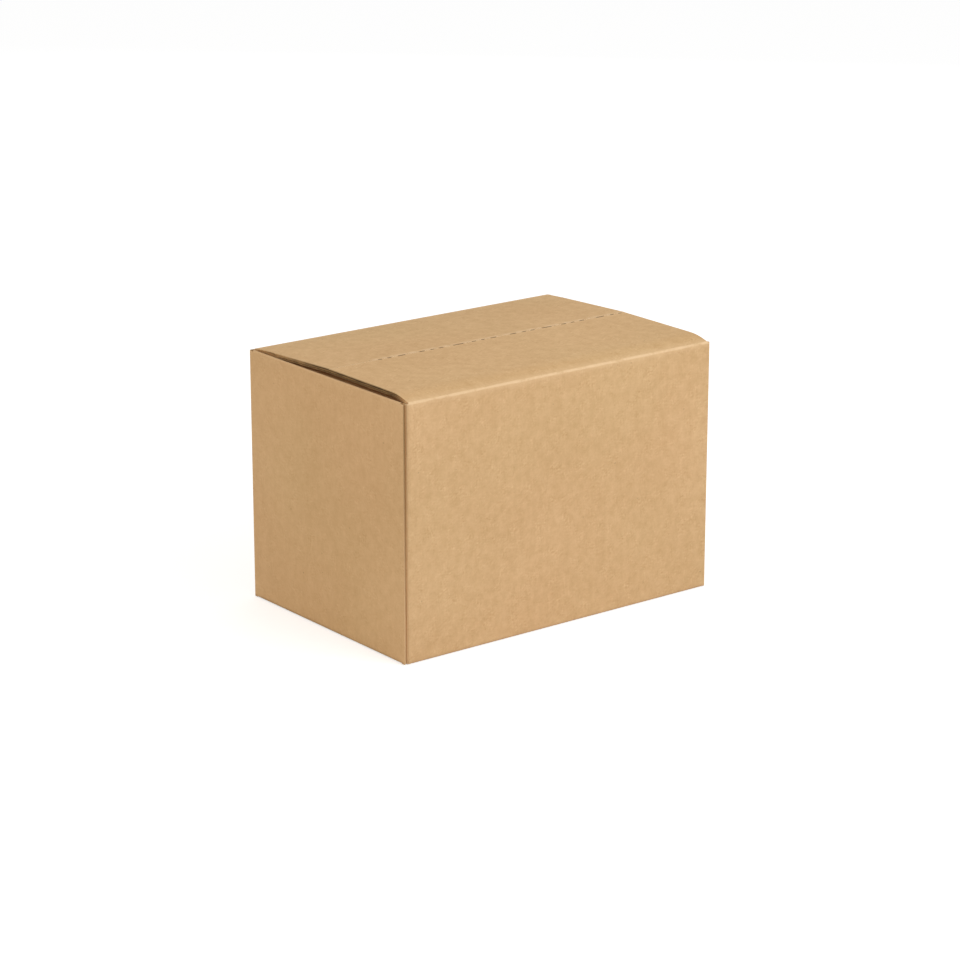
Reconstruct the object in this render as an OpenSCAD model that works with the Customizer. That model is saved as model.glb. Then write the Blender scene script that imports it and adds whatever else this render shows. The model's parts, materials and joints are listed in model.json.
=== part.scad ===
// Corrugated cardboard shipping box, folded shut from one slotted and glued blank.
// The length runs along X, the width along Y, and the box stands on the floor at z = 0.
// The middle of its bottom is the origin, and the seam of its outer flaps runs along X.

/* [Inside size] */
// Length inside, between the two end panels
inside_length = 300; // [220:5:400]
// Width inside, between the two long panels
inside_width = 200; // [150:5:260]
// Height inside, between the inner flaps at the bottom and those at the top
inside_height = 195; // [100:5:300]

/* [Corrugated board] */
// Thickness of the board
board = 3; // [2.6:0.1:4]
// Thickness of each flat liner sheet
liner = 0.4; // [0.3:0.05:0.6]
// Thickness of the wavy sheet between the liners
medium = 0.4; // [0.3:0.05:0.6]
// Distance from one flute to the next
flute_pitch = 6.4; // [5.5:0.1:8]
// Rounding on the outside of every fold
fold_round = 1.8; // [1:0.1:2.4]
// Depth to which the flutes are open in the side edges of the flaps
groove_depth = 1; // [0.5:0.1:3]
// Depth to which the flutes are open in the free edges of the inner flaps
pocket_depth = 12; // [2:1:40]

/* [Flaps] */
// How far the outer flaps stop short of the outside of the left end panel, by the glued corner
left_cutback = 5; // [4:0.5:8]
// How far the outer flaps stop short of the outside of the right end panel
right_cutback = 2.5; // [2:0.5:8]
// Free space between the side edges of the inner flaps and the long panels
inner_flap_clearance = 1.5; // [1:0.1:3]
// How far each corner slot reaches past the creases
slot_overcut = 0.5; // [0.2:0.1:2]
// Gap where two outer flaps meet
seam_gap = 0.4; // [0.3:0.1:2]

/* [Left end panel] */
// How far the crests of its two folds stay within the outer faces of the outer flaps
ridge_drop = 0.2; // [0.1:0.1:1]
// Clearance between the foot of such a fold and the side edge of an outer flap
ridge_clearance = 0.2; // [0.1:0.1:1]

/* [Sprung top flaps] */
// Angle at which the front flap leaves its crease
front_lift_angle = 16; // [4:0.5:18]
// Width of the stretch in which the front flap bends back to nearly level
front_bend = 16; // [12:1:40]
// Slope of the front flap from there to the seam
front_slope_angle = 0.3; // [0:0.1:3]
// Angle at which the rear flap leaves its crease
rear_lift_angle = 4; // [4:0.5:18]
// Width of the stretch in which the rear flap bends back to nearly level
rear_bend = 24; // [12:1:40]
// Slope of the rear flap from there to the seam
rear_slope_angle = 2.2; // [0:0.1:3]
// Clearance in the split of a moving crease, and at the side edges of its flap
crease_clearance = 0.2; // [0.1:0.05:0.4]
// How much thinner the board is where a moving crease is scored
crease_crush = 1; // [0.2:0.1:1.5]
// How far from the crease the crushed board reaches its full thickness
crush_reach = 5; // [4:0.5:6]
// Straight nose of a flap between its crease and its bend
nose_length = 6; // [5:0.5:12]
// Width of the strip between the bend and the start of the open flutes
solid_strip = 4; // [2:0.5:10]

/* [Glued corner joint] */
// Width of the glue tab from its fold
tab_width = 35; // [25:1:45]
// Angle to which the ends of the glue tab are trimmed
tab_trim_angle = 15; // [5:1:30]
// Free height between the glue tab and the inner flaps
tab_clearance = 2; // [1:0.5:5]
// How far the cut edge of the end panel stops short of the front face
joint_setback = 0.5; // [0:0.1:1.5]
// Depth to which the cut edge is open between its liners
joint_groove = 1.2; // [0.5:0.1:2]
// Depth to which the bottoms of the left slots are open between their liners
slot_groove = 1.5; // [0.5:0.1:4]

/* [Hidden] */
$fn = 48;

// Outside of the folded box: the inner flaps lie within the outer ones, top and bottom
half_length = inside_length / 2 + board;
half_width = inside_width / 2 + board;
inner_flaps_top = 3 * board + inside_height;
closed_height = inner_flaps_top + board;

// Height of a left fold over the inner flap, which the outer flaps press in behind it
ridge_height = board - ridge_drop;

// Flaps: all are as deep as half the width, so the inner ones leave the middle open
flap_depth = half_width - seam_gap / 2;
outer_flap_half = half_length - (left_cutback + right_cutback) / 2;
outer_flap_middle = (left_cutback - right_cutback) / 2;
top_flap_half = outer_flap_half - crease_clearance;
inner_flap_half = inside_width / 2 - inner_flap_clearance;

// Overlap that makes one solid of two stretches that meet
overlap = 0.3;

// Section of the board: the two open layers beside the wavy sheet, and the points of one crest
core = board - 2 * liner;
open_layers = [[liner, (board - medium) / 2], [(board + medium) / 2, board - liner]];
wave_height = (core - medium) / 2;
flute_phase_angles = [-140, -84, -28, 28, 84, 140];

kraft_face = "#cfa673";
kraft_light = "#d6ae7c";

// Pitch trimmed so that both side edges of a flap of this length cut through a flute's flank
function flute_step(length) = length / (floor(length / flute_pitch) + 0.5);

// Angle of the plane in which a flap and its panel meet, through the line where their faces meet
function mitre(lift) = (90 - lift) / 2;

// Bend of a sprung flap, in depth and height from its crease
function bend_radius(lift, bend, slope) = bend / (sin(lift) - sin(slope));
function bend_centre(lift, bend, slope) =
    nose_length * [cos(lift), sin(lift)] + bend_radius(lift, bend, slope) * [sin(lift), -cos(lift)];
function bend_end(lift, bend, slope) =
    bend_centre(lift, bend, slope) + bend_radius(lift, bend, slope) * [-sin(slope), cos(slope)];

// Rectangle from the origin with its corner there rounded
module rounded_corner(size) {
    translate([fold_round, 0]) square([size.x - fold_round, size.y]);
    translate([0, fold_round]) square([size.x, size.y - fold_round]);
    translate([fold_round, fold_round]) circle(r = fold_round);
}

// Both halves of what is the same at the front and the rear, or at the left and the right
module both_sides(axis) {
    children();
    mirror(axis) children();
}

// Turns a profile of depth and height into a board along X, against the front face
module along_front(half) {
    translate([outer_flap_middle - half, -half_width, 0])
        rotate([90, 0, 90]) linear_extrude(height = 2 * half) children();
}

// Turns a profile of depth and height into a board along Y, against the left face
module along_left() {
    translate([-half_length, inner_flap_half, 0])
        rotate([90, 0, 0]) linear_extrude(height = 2 * inner_flap_half) children();
}

// Cuts a profile into both side edges of an outer flap
module in_outer_edges(half) {
    translate([outer_flap_middle, -half_width, 0]) both_sides([1, 0, 0])
        translate([half - groove_depth, 0, 0])
            rotate([90, 0, 90]) linear_extrude(height = 2 * groove_depth) children();
}

// Cuts a profile into both side edges of an inner flap
module in_inner_edges() {
    translate([-half_length, 0, 0]) both_sides([0, 1, 0])
        translate([0, inner_flap_half + inner_flap_clearance / 2, 0])
            rotate([90, 0, 0]) linear_extrude(height = groove_depth + inner_flap_clearance / 2) children();
}

// Open layers along a level flap whose outer face is at height zero, below it
module level_layers() {
    for (layer = open_layers)
        translate([crush_reach, -layer[1]]) square([flap_depth, layer[1] - layer[0]]);
}

// Hollows on one side of the wavy sheet, one under each crest
module flute_hollows(half, step) {
    count = ceil(half / step) + 1;
    for (i = [-count : count])
        translate([i * step, 0])
            polygon(concat(
                [[flute_phase_angles[0] / 360 * step, liner]],
                [for (a = flute_phase_angles) [a / 360 * step, open_layers[0][1] + wave_height * cos(a)]],
                [[flute_phase_angles[5] / 360 * step, liner]]
            ));
}

// Section across the flutes: the hollows under the wave, and those over it half a step along
module flute_section(half) {
    step = flute_step(2 * half);
    margin = inner_flap_clearance / 2;
    intersection() {
        union() {
            flute_hollows(half, step);
            translate([step / 2, board]) mirror([0, 1]) flute_hollows(half, step);
        }
        translate([-half - margin, 0]) square([2 * (half + margin), board]);
    }
}

// Half of a moving crease: a board's end, thinned by the score, rounded outside and mitred
module creased_end(lift, reach) {
    angle = mitre(lift);
    scored = max(board - crease_crush, fold_round);
    tangent = [0, -fold_round * tan(angle)];
    centre = [fold_round, tangent.y];
    difference() {
        union() {
            polygon([
                [0, -reach],
                [board, -reach],
                [board, -crush_reach],
                [scored, -scored * tan(angle)],
                centre,
                tangent
            ]);
            intersection() {
                translate(centre) circle(r = fold_round);
                polygon([centre, tangent, [0, 0]]);
            }
        }
        rotate(-angle) translate([-board, -crease_clearance / 2]) square([4 * board, 2 * board]);
    }
}

// Long panel with its bottom outer flap, up to the crease of the moving top flap
module long_panel_profile(lift) {
    difference() {
        rounded_corner([flap_depth, closed_height / 2]);
        translate([board, board]) square([flap_depth, closed_height]);
    }
    translate([0, closed_height]) creased_end(lift, closed_height / 2);
}

// Fold of the left end panel, from its crest at the origin down to the flap pressed in behind it
module fold_ridge() {
    crest = [fold_round, -fold_round];
    foot = [left_cutback - ridge_clearance, -ridge_height];
    to_foot = foot - crest;
    turn = atan2(to_foot.y, to_foot.x) + acos(fold_round / norm(to_foot));
    translate(crest) circle(r = fold_round);
    polygon([
        [0, -ridge_height - board],
        [0, -fold_round],
        crest,
        crest + fold_round * [cos(turn), sin(turn)],
        foot,
        [foot.x, -ridge_height - board]
    ]);
}

// End panel with its bottom and top inner flaps
module end_panel_profile(ridged) {
    middle = (board + inner_flaps_top) / 2;
    difference() {
        union() {
            translate([0, board]) rounded_corner([flap_depth, middle - board]);
            translate([0, inner_flaps_top]) mirror([0, 1])
                rounded_corner([flap_depth, inner_flaps_top - middle]);
            if (ridged) {
                translate([0, inner_flaps_top + ridge_height]) fold_ridge();
                translate([0, board - ridge_height]) mirror([0, 1]) fold_ridge();
            }
        }
        translate([board, 2 * board]) square([flap_depth, inside_height]);
    }
}

// The four panels in plan: the front one folds inside the left end panel at the glued corner
module wall_plan() {
    difference() {
        union() {
            translate([-half_length + board, -half_width]) rounded_corner([half_length, half_width]);
            translate([half_length, -half_width]) mirror([1, 0]) rounded_corner([half_length, half_width]);
            both_sides([1, 0]) translate([-half_length, half_width]) mirror([0, 1])
                rounded_corner([half_length, half_width]);
            translate([-half_length, -half_width + joint_setback]) square([board, half_width]);
        }
        square([inside_length, inside_width], center = true);
        translate([-half_length + liner, -half_width]) square([core, joint_setback + joint_groove]);
    }
}

// Plan of the corner slots, past the ends of the outer flaps
module slot_plan() {
    both_sides([0, 1]) {
        translate([-half_length, inner_flap_half]) square([left_cutback, half_width - inner_flap_half]);
        translate([half_length - right_cutback, inside_width / 2]) square([right_cutback, board]);
    }
}

// Walls up to the folds of the inner flaps, and at the corner slots up to those of the outer ones
module walls() {
    low = board + slot_overcut;
    translate([0, 0, low]) linear_extrude(height = closed_height - 2 * low) wall_plan();
    translate([0, 0, slot_overcut]) linear_extrude(height = closed_height - 2 * slot_overcut)
        intersection() {
            wall_plan();
            slot_plan();
        }
}

// Tab of the front panel, glued against the inside of the left end panel
module glue_tab() {
    low = 2 * board + tab_clearance;
    high = inner_flaps_top - board - tab_clearance;
    drop = tab_width * tan(tab_trim_angle);
    translate([-half_length + board, -half_width + board, 0])
        rotate([90, 0, 90]) linear_extrude(height = board)
            polygon([
                [-board / 2, low],
                [tab_width, low + drop],
                [tab_width, high - drop],
                [-board / 2, high]
            ]);
}

// Open flutes in the edges of a left inner flap whose outer face is at height zero
module inner_flap_edges() {
    in_inner_edges() level_layers();
    translate([-half_length + flap_depth - pocket_depth, 0, -board])
        rotate([90, 0, 90]) linear_extrude(height = 2 * pocket_depth) flute_section(inner_flap_half);
}

// Open flutes at the bottoms of the left slots, between the liners of both panels
module slot_edges() {
    panel_start = board + fold_round / 2;
    bottom = closed_height - slot_overcut - slot_groove;
    both_sides([0, 1, 0]) translate([-half_length, -half_width, bottom])
        linear_extrude(height = slot_overcut + slot_groove) {
            translate([liner, fold_round]) square([core, half_width - inner_flap_half - fold_round]);
            translate([panel_start, liner]) square([left_cutback - panel_start, core]);
        }
}

module carton_body() {
    color(kraft_face) difference() {
        union() {
            walls();
            along_front(outer_flap_half) long_panel_profile(front_lift_angle);
            mirror([0, 1, 0]) along_front(outer_flap_half) long_panel_profile(rear_lift_angle);
            along_left() end_panel_profile(true);
            mirror([1, 0, 0]) along_left() end_panel_profile(false);
            glue_tab();
        }
        both_sides([1, 0, 0]) {
            translate([0, 0, inner_flaps_top]) inner_flap_edges();
            translate([0, 0, board]) mirror([0, 0, 1]) inner_flap_edges();
        }
        both_sides([0, 1, 0]) in_outer_edges(outer_flap_half) mirror([0, 1]) level_layers();
        slot_edges();
    }
}

// Layer of a sprung flap's board between two depths below its outer face, from a start on its nose
module sprung_layer(lift, bend, slope, layer, start, reach) {
    radius = bend_radius(lift, bend, slope);
    centre = bend_centre(lift, bend, slope);
    thickness = layer[1] - layer[0];
    rotate(lift) translate([start, -layer[1]]) square([nose_length + overlap - start, thickness]);
    intersection() {
        translate(centre) difference() {
            circle(r = radius - layer[0], $fn = 720);
            circle(r = radius - layer[1], $fn = 720);
        }
        polygon([
            centre,
            centre + 2 * radius * [-sin(lift), cos(lift)],
            centre + 2 * radius * [-sin(slope), cos(slope)]
        ]);
    }
    translate(bend_end(lift, bend, slope)) rotate(slope) translate([-overlap, -layer[1]])
        square([reach + overlap, thickness]);
}

// Outer top flap drawn against the front crease, rising from it, bending back and running to the seam
module top_flap(lift, bend, slope) {
    angle = mitre(lift);
    end = bend_end(lift, bend, slope);
    free_length = (flap_depth - end.x) / cos(slope);
    difference() {
        along_front(top_flap_half) translate([0, closed_height]) {
            rotate(-angle) mirror([0, 1]) rotate(angle) creased_end(lift, crush_reach + overlap);
            sprung_layer(lift, bend, slope, [0, board], crush_reach, free_length);
        }
        in_outer_edges(top_flap_half) translate([0, closed_height])
            for (layer = open_layers)
                sprung_layer(lift, bend, slope, layer, crush_reach, solid_strip + overlap);
        translate([outer_flap_middle, -half_width + end.x, closed_height + end.y]) rotate([slope, 0, 0])
            translate([0, solid_strip, -board]) rotate([90, 0, 180])
                linear_extrude(height = free_length) flute_section(top_flap_half);
    }
}

module front_top_flap() {
    color(kraft_light) top_flap(front_lift_angle, front_bend, front_slope_angle);
}

module rear_top_flap() {
    color(kraft_light) mirror([0, 1, 0]) top_flap(rear_lift_angle, rear_bend, rear_slope_angle);
}

carton_body();
front_top_flap();
rear_top_flap();
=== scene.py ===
"""Looks of the corrugated cardboard box: its board and folds, the floor, the light and the camera."""
import json
import math
import random

import bmesh
import bpy
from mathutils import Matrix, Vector


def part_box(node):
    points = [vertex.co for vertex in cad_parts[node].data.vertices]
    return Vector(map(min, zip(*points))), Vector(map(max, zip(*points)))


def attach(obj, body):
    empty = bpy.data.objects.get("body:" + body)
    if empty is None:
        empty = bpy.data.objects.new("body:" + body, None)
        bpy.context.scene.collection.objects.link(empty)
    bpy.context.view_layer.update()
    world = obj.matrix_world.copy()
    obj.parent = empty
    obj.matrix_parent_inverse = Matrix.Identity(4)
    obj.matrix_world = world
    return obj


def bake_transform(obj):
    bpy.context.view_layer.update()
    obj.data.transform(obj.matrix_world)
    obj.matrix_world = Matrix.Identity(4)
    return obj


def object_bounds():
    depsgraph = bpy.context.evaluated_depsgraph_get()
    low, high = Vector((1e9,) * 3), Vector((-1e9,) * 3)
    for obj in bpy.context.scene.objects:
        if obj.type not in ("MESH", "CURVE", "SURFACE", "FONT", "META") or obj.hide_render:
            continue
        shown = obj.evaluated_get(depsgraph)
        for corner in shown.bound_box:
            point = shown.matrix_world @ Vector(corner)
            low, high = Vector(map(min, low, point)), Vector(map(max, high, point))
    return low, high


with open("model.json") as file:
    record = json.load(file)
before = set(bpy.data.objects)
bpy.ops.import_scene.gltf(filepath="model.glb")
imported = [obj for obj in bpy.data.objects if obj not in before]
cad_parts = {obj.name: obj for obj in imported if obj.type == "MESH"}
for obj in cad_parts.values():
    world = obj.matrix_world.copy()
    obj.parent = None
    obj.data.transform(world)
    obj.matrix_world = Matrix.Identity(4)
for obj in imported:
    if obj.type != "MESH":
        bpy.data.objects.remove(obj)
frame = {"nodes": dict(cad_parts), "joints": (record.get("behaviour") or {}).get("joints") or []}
cad_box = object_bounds()

MM = 0.001

# Places on the box, in metres, from the frame
HINGE_PLACE = frame["joints"][0]["pos_m"]
HALF_LENGTH = cad_box[1][0]
HALF_WIDTH = abs(HINGE_PLACE[1])
CREASE_HEIGHT = HINGE_PLACE[2]
FLAP_ENDS = tuple(corner[0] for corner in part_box("front_top_flap"))

# The board and its folds, in metres and degrees, as in the part's source
BOARD = 3.0 * MM
FLUTE_PITCH = 6.4 * MM
CREASE_CLEARANCE = 0.2 * MM
FOLD_ROUND = 1.8 * MM
SCORED_BOARD = 2.0 * MM
LIFTS = {"front_flap": 16.0, "rear_flap": 4.0}
SEAM_HEIGHT = 211.37 * MM
SEAM_EDGE = 0.2 * MM

# Crushed board in the split of a crease: its share of the gap, how hollow its inner side is, and its parts
WEB_SHARE = 0.96
WEB_HOLLOW = 0.35
WEB_COLUMNS = 36
WEB_RINGS = 60

# Frayed strip in the seam: it has nicks only right of FRAY_START, give or take FRAY_FADE
FRAY_START = -106.0 * MM
FRAY_FADE = 5.0 * MM
FRAY_STEPS = 596
FRAY_REACH = 0.38 * MM
FRAY_RAGGED = 0.02 * MM
FRAY_RISE = 0.12 * MM
FRAY_THICKNESS = 0.10 * MM
FRAY_ROOT = 0.25 * MM
HAIR = 0.01 * MM

# Nicks in the frayed strip: their pitch, how it sways, where the wave turns into a nick, and their depth
NICK_PITCH = 13.1 * MM
NICK_SWAY = 47.0 * MM
NICK_SWING = 1.9
NICK_RANGE = (0.15, 0.55)
NICK_SHARE = 0.85
NICK_DROP = 0.15 * MM

# Where the painted highlights and shade, scuffs and dirt of creases, seam and foot start and where they are
# full, in metres from the line named
CREASE_HIGHLIGHT = (1.9 * MM, 0.8 * MM)
CREASE_WAVER = 1.4 * MM
CREASE_PALER_BAND = (9.0 * MM, 2.0 * MM)
CREASE_BELOW = (6.5 * MM, 1.0 * MM)
REAR_CREASE_SHARE = 0.25
SEAM_RIM = (6.0 * MM, 2.5 * MM)
SEAM_NICK = (1.6 * MM, 0.8 * MM)
FOOT_RISE = (3.4 * MM, 1.2 * MM)
LEFT_END = (1.4 * MM, 0.7 * MM)
LEFT_END_INBOARD = (8.0 * MM, 23.0 * MM)
LEFT_END_REARWARDS = (0.0, 70.0 * MM)

# Where cut edges turn dark, with painted shade deeper in the flute hollows: inwards from the flap's end,
# from the crease, and paler towards the rear
HOLLOW_DEPTH = (0.1 * MM, 0.2 * MM)
CUT_INBOARD = (2.5 * MM, 19.0 * MM)
CUT_REARWARDS = (5.0 * MM, 60.0 * MM)

# Painted shade beside and in the joint and on the slot floors of the body, from its left end and from its
# long sides
JOINT_SHADE = (5.6 * MM, 3.2 * MM)
JOINT_DEPTH = BOARD - 0.05 * MM
JOINT_DARK_ABOVE = 0.3 * CREASE_HEIGHT
JOINT_FULL_AT = 0.9 * CREASE_HEIGHT
SLOT_END = (5.0 * MM, 4.9 * MM)
SLOT_INBOARD = (5.0 * MM, 4.6 * MM)
SLOT_DROP = 2.5 * MM

# How far a normal leans towards an axis where a face starts to count and where it fully counts; the gain
# makes the slanted walls of the flutes count as cut edges too
MOSTLY_LEVEL = (0.5, 0.9)
LEVEL = (0.8, 0.95)
CUT_FACING = (0.5, 0.8)
CUT_SIDE_GAIN = 8.0
SHADE_FACING = (-0.3, -0.6)
JOINT_FACING = (-0.6, -0.9)
FOLD_FACING = (0.94, 0.80)

# Fibres of the liner: angle (radians) and seed of each direction, how drawn out, where their shade falls
FIBRE_DIRECTIONS = ((0.15, 4.0), (1.45, 5.0), (-0.6, 6.0))
FIBRE_STRETCH = (0.35, 1.0, 1.0)
FIBRE_SHADE = (0.1 * MM, 1.0 * MM, 0.0)

# Camera fitted to the corners of the box in the photograph
FRAME_PX = 960
SENSOR_MM = 36.0
FOCAL_PX = 3089.0
DISTANCE = 2.4935
AZIMUTH = -37.83
ELEVATION = 16.83
MIDDLE_PX = (480.8, 469.5)
MIDDLE = Vector((0.0, 0.0, 0.1035))
FARTHEST = 50.0

# Colours, linear, and how far one unit of tone moves each channel
KRAFT = {"body": (0.660, 0.431, 0.217), "flap": (0.652, 0.424, 0.203)}
KRAFT_ROSY = {"body": (0.690, 0.443, 0.229), "flap": (0.682, 0.436, 0.213)}
KRAFT_DARK = (0.300, 0.165, 0.075)
KRAFT_PALE = (0.860, 0.615, 0.365)
# Colour of cut edges, also used as painted shade on the slot floors and in the upper joint
KRAFT_EDGE_AND_SHADE = (0.270, 0.162, 0.066)
# Painted shade deep in the flute hollows of cut edges
KRAFT_HOLLOW_SHADE = (0.045, 0.024, 0.008)
COARSE_SPREAD = (0.620, 0.545, 0.370)
FINE_SPREAD = (0.480, 0.560, 0.375)

# Studio
WHITE = (1.0, 1.0, 1.0)
WARM_LIGHT = (1.0, 0.84, 0.60)
ROOM_LEVEL = 0.545
FLOOR_GREY = (0.72, 0.72, 0.72)
FLOOR_GLOW = 0.58
FLOOR_REACH = 12.0
FLOOR_DROP = 0.2 * MM


class Shader:
    """The node tree of a material or a world, with short calls for the nodes that it is made of."""

    def __init__(self, owner):
        owner.use_nodes = True
        self.owner = owner
        self.tree = owner.node_tree
        self.tree.nodes.clear()

    def node(self, kind, inputs=(), **settings):
        """A new node of that kind, with its settings made and its inputs linked or set."""
        made = self.tree.nodes.new(kind)
        for key, value in settings.items():
            setattr(made, key, value)
        for key, value in dict(inputs).items():
            if isinstance(value, bpy.types.NodeSocket):
                self.tree.links.new(value, made.inputs[key])
            elif isinstance(value, tuple) and made.inputs[key].type == "RGBA":
                made.inputs[key].default_value = (*value, 1.0)
            else:
                made.inputs[key].default_value = value
        return made

    def math(self, operation, a, b=0.0):
        return self.node("ShaderNodeMath", {0: a, 1: b}, operation=operation).outputs[0]

    def plus(self, a, b):
        return self.math("ADD", a, b)

    def minus(self, a, b):
        return self.math("SUBTRACT", a, b)

    def above(self, a, b):
        return self.math("GREATER_THAN", a, b)

    def absolute(self, number):
        return self.math("ABSOLUTE", number)

    def wave(self, place, pitch):
        return self.math("SINE", self.times(place, 2 * math.pi / pitch))

    def times(self, *factors):
        """Product of numbers."""
        product = factors[0]
        for factor in factors[1:]:
            product = self.math("MULTIPLY", product, factor)
        return product

    def highest(self, *numbers):
        most = numbers[0]
        for number in numbers[1:]:
            most = self.math("MAXIMUM", most, number)
        return most

    def total(self, *terms):
        """Sum of numbers, each given with its share."""
        total = 0.0
        for term, share in terms:
            inputs = {0: term, 1: share, 2: total}
            total = self.node("ShaderNodeMath", inputs, operation="MULTIPLY_ADD").outputs[0]
        return total

    def peaked(self, number):
        """Number with its small values made smaller, so that only its peaks stand out."""
        return self.times(number, self.absolute(number))

    def step(self, value, low, high):
        """Smooth step of value from 0 at low to 1 at high."""
        ends = {"Value": value, "From Min": low, "From Max": high}
        return self.node("ShaderNodeMapRange", ends, interpolation_type="SMOOTHSTEP").outputs[0]

    def pick(self, factor, a, b):
        """Number a turning into number b."""
        return self.node("ShaderNodeMix", {0: factor, 2: a, 3: b}, data_type="FLOAT").outputs[0]

    def mix(self, factor, a, b):
        """Colour a turning into colour b."""
        return self.node("ShaderNodeMix", {0: factor, 6: a, 7: b}, data_type="RGBA").outputs[2]

    def noise(self, vector, per_metre, detail, roughness, seed):
        """Noise around 0, with that many features to a metre."""
        inputs = {"Vector": vector, "W": seed, "Scale": per_metre, "Detail": detail, "Roughness": roughness}
        made = self.node("ShaderNodeTexNoise", inputs, noise_dimensions="4D")
        return self.minus(made.outputs[0], 0.5)

    def patches(self, vector, ends, **noise):
        """Soft patches: 0 where the noise is at the first of its ends, and 1 at the second."""
        return self.step(self.noise(vector, **noise), *ends)

    def brightness(self, colour, change):
        """Colour made lighter or darker by a share, such as 0.05."""
        gain = self.plus(change, 1.0)
        return self.node("ShaderNodeVectorMath", {0: colour, 3: gain}, operation="SCALE").outputs[0]

    def tint(self, colour, change, spread):
        """Colour with that change of tone spread over its channels; 0.01 is about one level in 8 bits."""
        inputs = {0: change, 1: spread, 2: colour}
        return self.node("ShaderNodeVectorMath", inputs, operation="MULTIPLY_ADD").outputs[0]

    def vector(self, x, y, z):
        return self.node("ShaderNodeCombineXYZ", {0: x, 1: y, 2: z}).outputs[0]

    def parts(self, vector):
        """X, y and z of a vector."""
        return self.node("ShaderNodeSeparateXYZ", {0: vector}).outputs[:3]

    def scaled(self, vector, factors):
        return self.node("ShaderNodeVectorMath", {0: vector, 1: factors}, operation="MULTIPLY").outputs[0]

    def shifted(self, vector, by):
        return self.node("ShaderNodeVectorMath", {0: vector, 1: by}, operation="ADD").outputs[0]

    def surface(self, looks):
        """Ends a material with a principled surface of these looks."""
        shader = self.node("ShaderNodeBsdfPrincipled", looks)
        self.node("ShaderNodeOutputMaterial", {0: shader.outputs[0]})
        return self.owner


def board_axes(s, position, normal, kind):
    """Place on the sheet, across the flutes and along them, and 1 on faces turned from the front."""
    x, y, z = s.parts(position)
    if kind == "flap":
        return x, y, 0.0
    side_x, _, side_z = s.parts(normal)
    end_face = s.above(s.absolute(side_x), 0.5)
    level_face = s.above(s.absolute(side_z), 0.7)
    inner_flap = s.times(level_face, s.above(z, 1.2 * BOARD))
    turned = s.highest(end_face, inner_flap)
    across = s.pick(turned, x, y)
    along = s.pick(level_face, z, s.pick(turned, y, x))
    return across, along, turned


def fibre_marks(s, sheet):
    """Fibres in a few directions: their tone, and the lit and shaded sides that make them stand out."""
    tone, relief = 0.0, 0.0
    for turn, seed in FIBRE_DIRECTIONS:
        turned = s.node("ShaderNodeVectorRotate", {"Vector": sheet, "Angle": turn}, rotation_type="Z_AXIS")
        drawn_out = s.scaled(turned.outputs[0], FIBRE_STRETCH)
        beside = s.shifted(drawn_out, FIBRE_SHADE)
        strand = s.noise(drawn_out, per_metre=600.0, detail=1.0, roughness=0.5, seed=seed)
        shade = s.noise(beside, per_metre=600.0, detail=1.0, roughness=0.5, seed=seed)
        tone = s.plus(tone, strand)
        relief = s.plus(relief, s.peaked(s.minus(strand, shade)))
    return tone, relief


def bark_specks(s, sheet):
    """Specks of bark, small and few, with bent outlines."""
    sway = s.node("ShaderNodeTexNoise", {"Vector": sheet, "Scale": 900.0}).outputs["Color"]
    bent = s.shifted(sheet, s.scaled(sway, (1.2 * MM, 1.2 * MM, 0.0)))
    cells = s.node("ShaderNodeTexVoronoi", {"Vector": s.scaled(bent, (0.6, 1.0, 1.0)), "Scale": 190.0})
    chance = s.node("ShaderNodeTexWhiteNoise", {"Vector": cells.outputs["Color"]}).outputs[0]
    reach = s.times(s.math("POWER", chance, 8.0), 0.13)
    return s.step(cells.outputs["Distance"], reach, s.times(reach, 0.5))


def crease_highlight_and_scuffs(s, position):
    """Painted highlight along the creases, partly scuffed liner, less at the rear; and a paler band below
    them.
    """
    _, y, z = s.parts(position)
    from_line = s.vector(0.0, s.minus(s.absolute(y), HALF_WIDTH), s.minus(z, CREASE_HEIGHT))
    distance = s.node("ShaderNodeVectorMath", {0: from_line}, operation="LENGTH").outputs["Value"]
    waver = s.times(s.noise(position, per_metre=70.0, detail=2.0, roughness=0.6, seed=10.0), CREASE_WAVER)
    near = s.step(s.plus(distance, waver), *CREASE_HIGHLIGHT)
    in_patches = s.patches(position, (-0.22, 0.06), per_metre=60.0, detail=4.0, roughness=0.8, seed=8.0)
    # Painted highlight along the crease, partly scuffed liner, weaker on the rear crease
    lit_and_scuffed = s.times(near, in_patches, s.pick(s.above(y, 0.0), 1.0, REAR_CREASE_SHARE))
    below = s.step(s.minus(CREASE_HEIGHT, z), *CREASE_BELOW)
    paler_below_crease = s.times(below, s.step(distance, *CREASE_PALER_BAND))
    return lit_and_scuffed, paler_below_crease


def fold_highlight_and_scuffs(s, position, normal):
    """Painted highlight and scuffing where the board turns any corner, in patches."""
    steepest = s.highest(*(s.absolute(part) for part in s.parts(normal)))
    in_patches = s.patches(position, (-0.3, 0.2), per_metre=160.0, detail=2.0, roughness=0.6, seed=11.0)
    return s.times(s.step(steepest, *FOLD_FACING), in_patches)


def foot_dirt_and_shade(s, position, turned):
    """How dark the bottom edge is, from dirt and painted contact shade: in patches, more on the end panels,
    most towards their rear.
    """
    _, y, z = s.parts(position)
    rearwards = s.step(y, -HALF_WIDTH, 0.6 * HALF_WIDTH)
    share = s.pick(turned, 0.12, s.pick(rearwards, 0.36, 0.62))
    in_patches = s.patches(position, (-0.3, 0.1), per_metre=90.0, detail=2.0, roughness=0.6, seed=14.0)
    return s.times(s.step(z, *FOOT_RISE), in_patches, share)


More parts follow.
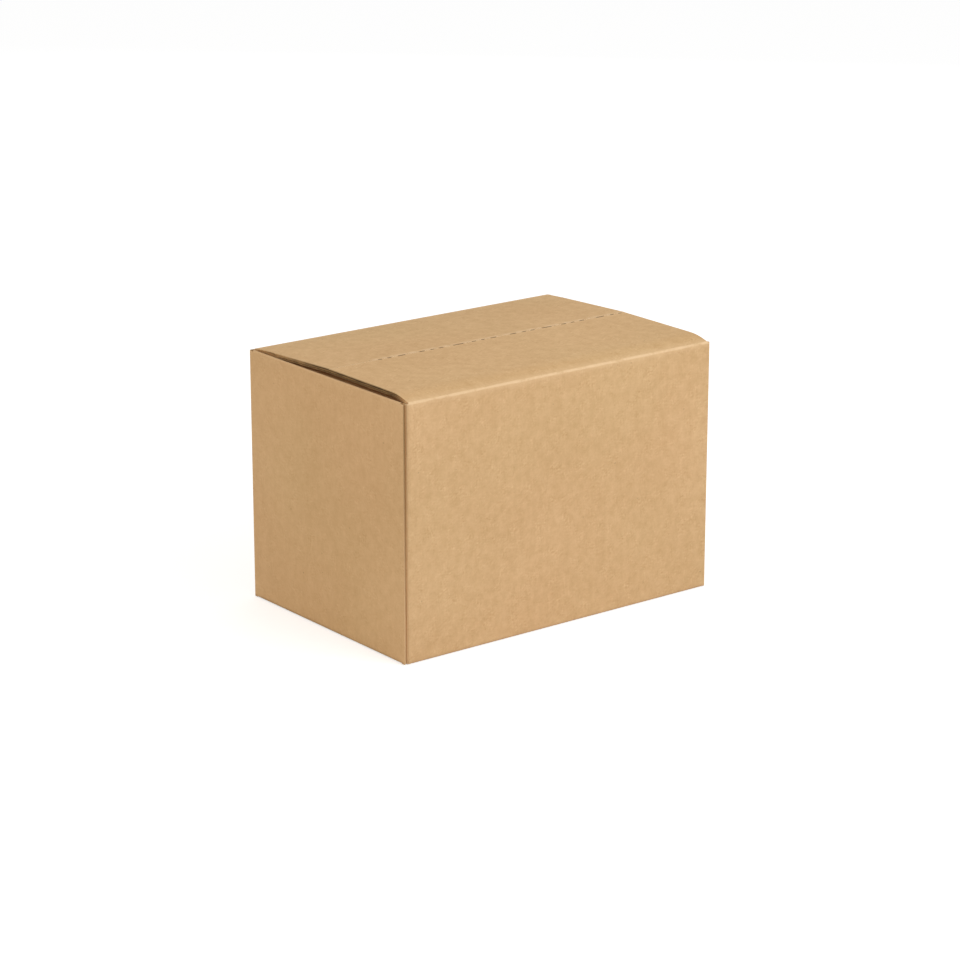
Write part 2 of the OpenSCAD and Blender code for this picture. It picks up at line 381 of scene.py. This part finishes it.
def flap_cut_and_hollow_shade(s, colour, position, normal):
    """Colour of a top flap with its cut edges dark, and painted shade deeper in their flute hollows, but
    paler next to the crease and towards the rear.
    """
    x, y, _ = s.parts(position)
    side_x, side_y, _ = s.parts(normal)
    depth = s.math("MINIMUM", s.minus(x, FLAP_ENDS[0]), s.minus(FLAP_ENDS[1], x))
    # Painted shade deep in the flute hollows of the cut edge
    hollow = s.step(depth, *HOLLOW_DEPTH)
    rearwards = s.step(y, *CUT_REARWARDS)
    edge = s.mix(s.times(hollow, s.pick(rearwards, 1.0, 0.25)), KRAFT_EDGE_AND_SHADE, KRAFT_HOLLOW_SHADE)
    edge = s.mix(s.times(rearwards, 0.60), edge, KRAFT["flap"])
    along_edge = s.scaled(position, (1.0, 0.12, 1.0))
    strands = s.noise(along_edge, per_metre=700.0, detail=1.0, roughness=0.5, seed=15.0)
    edge = s.brightness(edge, s.times(strands, 2.4))
    off_crease = s.step(s.minus(HALF_WIDTH, s.absolute(y)), *CUT_INBOARD)
    facing = s.highest(s.times(s.absolute(side_x), CUT_SIDE_GAIN), s.absolute(side_y))
    cut = s.times(s.step(facing, *CUT_FACING), off_crease)
    return s.mix(s.times(cut, 0.95), colour, edge)


def flap_seam(s, colour, position, normal):
    """Colour of a top flap along the seam: a pale band, partly painted highlight and partly scuffed liner,
    and painted shade at its nicks; and darker at its left end.
    """
    x, y, _ = s.parts(position)
    face = s.step(s.parts(normal)[2], *LEVEL)
    seam = s.absolute(y)
    frayed = s.step(x, FRAY_START - FRAY_FADE, FRAY_START + FRAY_FADE)
    along_seam = s.vector(x, 0.0, 0.0)
    fluff = s.patches(along_seam, (-0.15, 0.1), per_metre=160.0, detail=2.0, roughness=0.6, seed=12.0)
    # Pale band along the seam, more on the rear flap: partly painted highlight of a raised lit edge, partly
    # scuffed liner
    rim_share = s.pick(s.above(y, 0.0), 0.10, 0.60)
    rim = s.times(face, s.step(seam, *SEAM_RIM), fluff, frayed, rim_share)
    sway = s.times(s.wave(x, NICK_SWAY), NICK_SWING)
    beat = s.math("SINE", s.plus(s.times(x, 2 * math.pi / NICK_PITCH), sway))
    # Painted shade of the gap at the nicks
    nick = s.times(face, s.step(beat, *NICK_RANGE), s.step(seam, *SEAM_NICK), frayed)
    at_end = s.step(s.minus(x, FLAP_ENDS[0]), *LEFT_END)
    dark_left_end = s.times(face, at_end, s.step(s.minus(HALF_WIDTH, seam), *LEFT_END_INBOARD))
    dark_end_share = s.pick(s.step(y, *LEFT_END_REARWARDS), 0.75, 0.3)
    colour = s.mix(rim, colour, KRAFT_PALE)
    colour = s.mix(s.times(nick, 0.30), colour, KRAFT_DARK)
    return s.mix(s.times(dark_left_end, dark_end_share), colour, KRAFT_EDGE_AND_SHADE)


def body_edges_and_shade(s, colour, position, normal, grain):
    """Colour of the body: painted shade beside its glued joint, deeper upwards; the joint's cut edge with
    painted shade above and painted light low down; and painted shade on the floors of its left slots.
    """
    x, y, z = s.parts(position)
    _, side_y, side_z = s.parts(normal)
    from_left = s.plus(x, HALF_LENGTH)
    # Painted shade on the front face beside the joint, deeper upwards
    painted_joint_shade = s.times(s.step(from_left, *JOINT_SHADE), s.step(side_y, *SHADE_FACING))
    upwards = s.step(z, JOINT_DARK_ABOVE, CREASE_HEIGHT)
    colour = s.brightness(colour, s.times(painted_joint_shade, upwards, -0.15))

    # The joint's cut edge: painted light low down against the groove's shade, and edge colour with painted
    # shade of the open gap higher up
    joint_low_lightened = s.mix(0.35, KRAFT["body"], KRAFT_PALE)
    joint_high_shaded = s.mix(0.6, KRAFT["body"], KRAFT_EDGE_AND_SHADE)
    joint_painted_colour = s.mix(s.step(z, 0.0, JOINT_FULL_AT), joint_low_lightened, joint_high_shaded)
    in_joint = s.above(JOINT_DEPTH, from_left)
    colour = s.mix(s.times(in_joint, s.step(side_y, *JOINT_FACING)), colour, joint_painted_colour)

    # Painted shade on the floors of the left slots
    at_left = s.step(from_left, *SLOT_END)
    at_corner = s.step(s.minus(HALF_WIDTH, s.absolute(y)), *SLOT_INBOARD)
    level = s.times(s.step(side_z, *MOSTLY_LEVEL), s.above(z, CREASE_HEIGHT - SLOT_DROP))
    slot = s.times(at_left, at_corner, level)
    return s.mix(s.times(slot, 0.7), colour, s.brightness(KRAFT_EDGE_AND_SHADE, s.times(grain, 0.8)))


def kraft_board(name, kind):
    """Brown kraft liner: cloudy pulp, fibres, specks, faint flutes, creases with painted highlights and
    scuffs, and raw edges, with painted shade in hollows, slots and joint and along the foot.
    """
    s = Shader(bpy.data.materials.new(name))
    coords = s.node("ShaderNodeTexCoord")
    position, normal = coords.outputs["Object"], coords.outputs["Normal"]
    across, along, turned = board_axes(s, position, normal, kind)
    sheet = s.vector(across, along, turned)

    # Pulp: wide clouds of tone and hue, flocs of a few millimetres, and grain
    clouds = s.noise(position, per_metre=12.0, detail=2.0, roughness=0.5, seed=1.0)
    hue = s.patches(position, (-0.2, 0.2), per_metre=7.0, detail=1.0, roughness=0.5, seed=9.0)
    flocs = s.noise(sheet, per_metre=110.0, detail=3.0, roughness=0.75, seed=2.0)
    grain = s.noise(sheet, per_metre=1300.0, detail=2.0, roughness=0.7, seed=3.0)

    # Flutes show faintly, more in some places than in others: painted shade of their ridges in the colour,
    # and their relief in the bump
    shown = s.patches(position, (-0.15, 0.25), per_metre=22.0, detail=1.0, roughness=0.5, seed=7.0)
    flutes = s.times(s.wave(across, FLUTE_PITCH), shown)

    # Fibres and grain lie in patches, and turned faces are calmer
    fibres, relief = fibre_marks(s, sheet)
    gathered = s.patches(sheet, (-0.10, 0.22), per_metre=75.0, detail=2.0, roughness=0.6, seed=13.0)
    contrast = s.pick(turned, 1.0, 0.75)
    fine = s.total((grain, 0.02), (fibres, 0.08), (relief, 0.48))
    fine = s.times(fine, s.total((gathered, 1.5), (1.0, 0.35)), contrast)
    coarse = s.total((clouds, 0.17), (s.times(flocs, contrast), 0.42), (flutes, 0.009))
    colour = s.tint(s.mix(hue, KRAFT[kind], KRAFT_ROSY[kind]), coarse, COARSE_SPREAD)
    colour = s.tint(colour, fine, FINE_SPREAD)

    # Marks, each with its share and its colour: bark specks, painted highlight on folds and creases with
    # some scuffing, a paler band below the creases, and dirt with painted contact shade along the foot
    lit_and_scuffed, paler_below_crease = crease_highlight_and_scuffs(s, position)
    marks_and_painted_light = (
        (bark_specks(s, sheet), 0.5, KRAFT_DARK),
        (fold_highlight_and_scuffs(s, position, normal), 0.15, KRAFT_PALE),
        (paler_below_crease, 0.24, KRAFT_PALE),
        (lit_and_scuffed, 0.85, KRAFT_PALE),
        (foot_dirt_and_shade(s, position, turned), 1.0, KRAFT_DARK),
    )
    for place, share, mark_colour in marks_and_painted_light:
        colour = s.mix(s.times(place, share), colour, mark_colour)
    if kind == "flap":
        colour = flap_cut_and_hollow_shade(s, flap_seam(s, colour, position, normal), position, normal)
    else:
        colour = body_edges_and_shade(s, colour, position, normal, grain)

    height = s.total((flocs, 0.5), (fibres, 0.5), (grain, 0.5), (flutes, 0.25))
    bump = s.node("ShaderNodeBump", {"Strength": 0.03, "Distance": 0.12 * MM, "Height": height})
    roughness = s.total((flocs, 0.12), (1.0, 0.82))
    looks = {"Base Color": colour, "Roughness": roughness, "Specular IOR Level": 0.25}
    return s.surface({**looks, "Normal": bump.outputs[0]})


def frayed_paper():
    """Loose brown fibres, paler than the face that they come from."""
    s = Shader(bpy.data.materials.new("frayed_paper"))
    position = s.node("ShaderNodeTexCoord").outputs["Object"]
    fibres = s.noise(position, per_metre=700.0, detail=2.0, roughness=0.7, seed=21.0)
    colour = s.brightness(KRAFT_PALE, s.times(fibres, 1.2))
    return s.surface({"Base Color": colour, "Roughness": 0.95, "Specular IOR Level": 0.1})


def add_object(name, data):
    """Puts a mesh, lamp or camera in the scene as an object."""
    made = bpy.data.objects.new(name, data)
    bpy.context.scene.collection.objects.link(made)
    return made


def lofted(name, sections, material):
    """A solid through sections, each a loop whose second half runs back beside its first."""
    made = bmesh.new()
    rings = [[made.verts.new(corner) for corner in section] for section in sections]
    count = len(rings[0])
    for near, far in zip(rings, rings[1:]):
        for i in range(count):
            j = (i + 1) % count
            made.faces.new((near[i], near[j], far[j], far[i]))
    for i in range(count // 2 - 1):
        for ring in (rings[0], rings[-1]):
            made.faces.new((ring[i], ring[i + 1], ring[-2 - i], ring[-1 - i]))
    bmesh.ops.recalc_face_normals(made, faces=made.faces)
    mesh = bpy.data.meshes.new(name)
    made.to_mesh(mesh)
    made.free()
    mesh.materials.append(material)
    return add_object(name, mesh)


def along_flap(steps):
    """Evenly spaced x from the left end of the top flaps to their right end."""
    left, right = FLAP_ENDS
    return [left + (right - left) * i / steps for i in range(steps + 1)]


def crease_web(name, flap, side, material):
    """Crushed board between flap and panel: a sliver in the split of the crease, built at rest."""
    mitre = math.radians((90.0 - LIFTS[flap]) / 2)
    outwards = Vector((0.0, side, 0.0))
    inwards = -outwards * math.cos(mitre) - Vector((0.0, 0.0, math.sin(mitre)))
    across = -outwards * math.sin(mitre) + Vector((0.0, 0.0, math.cos(mitre)))
    hinge = Vector((0.0, side * HALF_WIDTH, CREASE_HEIGHT))
    outer = FOLD_ROUND * (1.0 / math.cos(mitre) - 1.0) + HAIR
    inner = SCORED_BOARD / math.cos(mitre)
    half_gap = 0.5 * WEB_SHARE * CREASE_CLEARANCE

    shares = [i / WEB_COLUMNS for i in range(WEB_COLUMNS + 1)]
    loop = [(outer, share) for share in shares]
    for share in reversed(shares):
        loop.append((inner - WEB_HOLLOW * (inner - outer) * math.sin(math.pi * share), share))
    section = [hinge + inwards * reach + across * half_gap * (2.0 * share - 1.0) for reach, share in loop]
    sections = [[(x, place.y, place.z) for place in section] for x in along_flap(WEB_RINGS)]

    web = lofted(name, sections, material)
    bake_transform(web)


def smooth_step(value, low, high):
    """The same curve as the shaders' step, so that the strip's nicks lie where the colour has them."""
    share = min(1.0, max(0.0, (value - low) / (high - low)))
    return share * share * (3.0 - 2.0 * share)


def seam_fray(name, material):
    """Torn paper along the front flap's free edge, which bridges the seam except at its nicks."""
    chance = random.Random(11)
    root = -SEAM_EDGE + HAIR
    sections = []
    for x in along_flap(FRAY_STEPS):
        sway = NICK_SWING * math.sin(2 * math.pi * x / NICK_SWAY)
        nicked = smooth_step(math.sin(2 * math.pi * x / NICK_PITCH + sway), *NICK_RANGE)
        nicked *= smooth_step(x, FRAY_START - FRAY_FADE, FRAY_START + FRAY_FADE)
        reach = (FRAY_REACH - chance.uniform(0.0, FRAY_RAGGED)) * (1.0 - NICK_SHARE * nicked)
        tip = -SEAM_EDGE + reach
        top = SEAM_HEIGHT - HAIR - NICK_DROP * nicked
        tip_top = top + FRAY_RISE * (1.0 - nicked)
        profile = [(root, top), (tip, tip_top), (tip, tip_top - FRAY_THICKNESS), (root, top - FRAY_ROOT)]
        sections.append([(x, y, z) for y, z in profile])
    fray = lofted(name, sections, material)
    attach(fray, "front_flap")


def dress(node, material):
    """Gives a node of the frame its material."""
    mesh = frame["nodes"][node].data
    mesh.materials.clear()
    mesh.materials.append(material)


def area_light(name, towards, distance, size, level, colour=WHITE):
    """A square lamp that gives a facing white surface that share of full white."""
    lamp = bpy.data.lights.new(name, "AREA")
    lamp.shape = "SQUARE"
    lamp.size = size
    lamp.energy = level * math.pi * math.pi * distance * distance
    lamp.color = colour
    direction = Vector(towards).normalized()
    made = add_object(name, lamp)
    made.location = MIDDLE + direction * distance
    made.rotation_mode = "QUATERNION"
    made.rotation_quaternion = direction.to_track_quat("Z", "Y")


def make_camera():
    """The photograph's view: its angle and lens, turned a little so that the box lands in its place."""
    lens = bpy.data.cameras.new("camera")
    lens.sensor_width = SENSOR_MM
    lens.lens = FOCAL_PX * SENSOR_MM / FRAME_PX
    lens.clip_end = FARTHEST
    turn, rise = math.radians(AZIMUTH), math.radians(ELEVATION)
    back = Vector((math.sin(turn) * math.cos(rise), -math.cos(turn) * math.cos(rise), math.sin(rise)))
    right = Vector((math.cos(turn), math.sin(turn), 0.0))
    up = back.cross(right)
    metres_per_px = DISTANCE / FOCAL_PX
    off_right = (MIDDLE_PX[0] - FRAME_PX / 2) * metres_per_px
    off_down = (MIDDLE_PX[1] - FRAME_PX / 2) * metres_per_px
    aim = MIDDLE - right * off_right + up * off_down
    camera = add_object("camera", lens)
    camera.location = MIDDLE + back * DISTANCE
    camera.rotation_mode = "QUATERNION"
    camera.rotation_quaternion = (camera.location - aim).to_track_quat("Z", "Y")
    bpy.context.scene.camera = camera


def seen_directly(s):
    """1 for rays from the camera, also by way of a shiny or clear surface."""
    paths = s.node("ShaderNodeLightPath").outputs
    return s.highest(paths["Is Camera Ray"], paths["Is Glossy Ray"], paths["Is Transmission Ray"])


def make_floor():
    """Pale floor that shows white to the camera and keeps the soft shadow of the box."""
    mesh = bpy.data.meshes.new("floor")
    corners = [(x * FLOOR_REACH, y * FLOOR_REACH, 0.0) for x, y in ((-1, -1), (1, -1), (1, 1), (-1, 1))]
    mesh.from_pydata(corners, [], [(0, 1, 2, 3)])
    floor = add_object("floor", mesh)
    floor.location.z = -FLOOR_DROP
    s = Shader(bpy.data.materials.new("floor"))
    diffuse = s.node("ShaderNodeBsdfDiffuse", {"Color": FLOOR_GREY})
    strength = s.times(seen_directly(s), FLOOR_GLOW)
    glow = s.node("ShaderNodeEmission", {"Color": WHITE, "Strength": strength})
    added = s.node("ShaderNodeAddShader", {0: diffuse.outputs[0], 1: glow.outputs[0]})
    s.node("ShaderNodeOutputMaterial", {0: added.outputs[0]})
    mesh.materials.append(s.owner)


def make_world():
    """Even studio light from all round, and white behind the box."""
    world = bpy.data.worlds.new("studio")
    bpy.context.scene.world = world
    s = Shader(world)
    room = s.node("ShaderNodeBackground", {"Color": WHITE, "Strength": ROOM_LEVEL})
    backdrop = s.node("ShaderNodeBackground", {"Color": WHITE, "Strength": 1.0})
    mixed = s.node("ShaderNodeMixShader", {0: seen_directly(s), 1: room.outputs[0], 2: backdrop.outputs[0]})
    s.node("ShaderNodeOutputWorld", {0: mixed.outputs[0]})


make_camera()
make_world()
make_floor()
area_light("key", towards=(0.35, -0.85, 0.57), distance=1.8, size=1.4, level=0.46)
area_light("left_fill", towards=(-0.95, -0.15, 0.35), distance=2.2, size=1.6, level=0.22, colour=WARM_LIGHT)
area_light("back_fill", towards=(0.75, 0.75, 0.5), distance=2.4, size=1.8, level=0.10)

body_board = kraft_board("kraft_body", "body")
flap_board = kraft_board("kraft_flap", "flap")
dress("carton_body", body_board)
dress("front_top_flap", flap_board)
dress("rear_top_flap", flap_board)
crease_web("front_crease_web", "front_flap", -1.0, flap_board)
crease_web("rear_crease_web", "rear_flap", 1.0, flap_board)
seam_fray("front_seam_fray", frayed_paper())

bpy.context.scene.view_settings.view_transform = "Standard"
